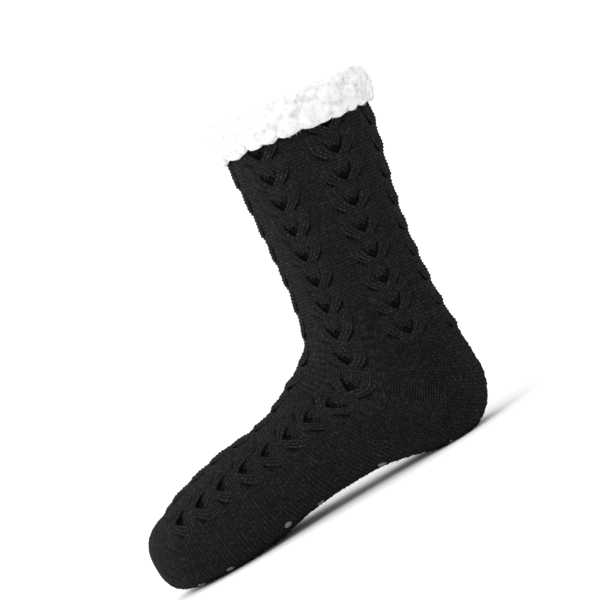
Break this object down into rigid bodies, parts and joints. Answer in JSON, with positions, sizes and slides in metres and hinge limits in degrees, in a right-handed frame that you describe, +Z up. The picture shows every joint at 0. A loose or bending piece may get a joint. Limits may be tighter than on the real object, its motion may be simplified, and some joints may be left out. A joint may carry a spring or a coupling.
{
  "type": "slipper sock",
  "caption": "Cable-knit slipper sock with a fleece cuff turned down over the collar and silicone grip dots on its sole, standing empty.",
  "frame": {"origin": "on the floor, at the middle of the flat underside of the grip dot below the heel, in the sock's middle plane", "axes": "+Z up from the floor the sock stands on; -X towards the toe; +Y across the foot"},
  "size_m": [0.2765, 0.1048, 0.2464],
  "materials": {
    "black_knit": "matte worsted acrylic yarn, slightly hairy",
    "white_fleece": "curly pile",
    "clear_grip": "translucent silicone, satin"
  },
  "bodies": {
    "root": {"knit_upper": "black_knit", "fleece_cuff": "white_fleece", "grip_dot_01": "clear_grip", "grip_dot_02": "clear_grip", "grip_dot_03": "clear_grip", "grip_dot_04": "clear_grip", "grip_dot_05": "clear_grip", "grip_dot_06": "clear_grip", "grip_dot_07": "clear_grip", "grip_dot_08": "clear_grip", "grip_dot_09": "clear_grip", "grip_dot_10": "clear_grip", "grip_dot_11": "clear_grip", "grip_dot_12": "clear_grip", "grip_dot_13": "clear_grip", "grip_dot_14": "clear_grip", "grip_dot_15": "clear_grip", "grip_dot_16": "clear_grip", "grip_dot_17": "clear_grip", "grip_dot_18": "clear_grip", "grip_dot_19": "clear_grip", "grip_dot_20": "clear_grip", "grip_dot_21": "clear_grip", "grip_dot_22": "clear_grip", "grip_dot_23": "clear_grip", "grip_dot_24": "clear_grip", "grip_dot_25": "clear_grip", "grip_dot_26": "clear_grip", "grip_dot_27": "clear_grip"}
  },
  "joints": []
}
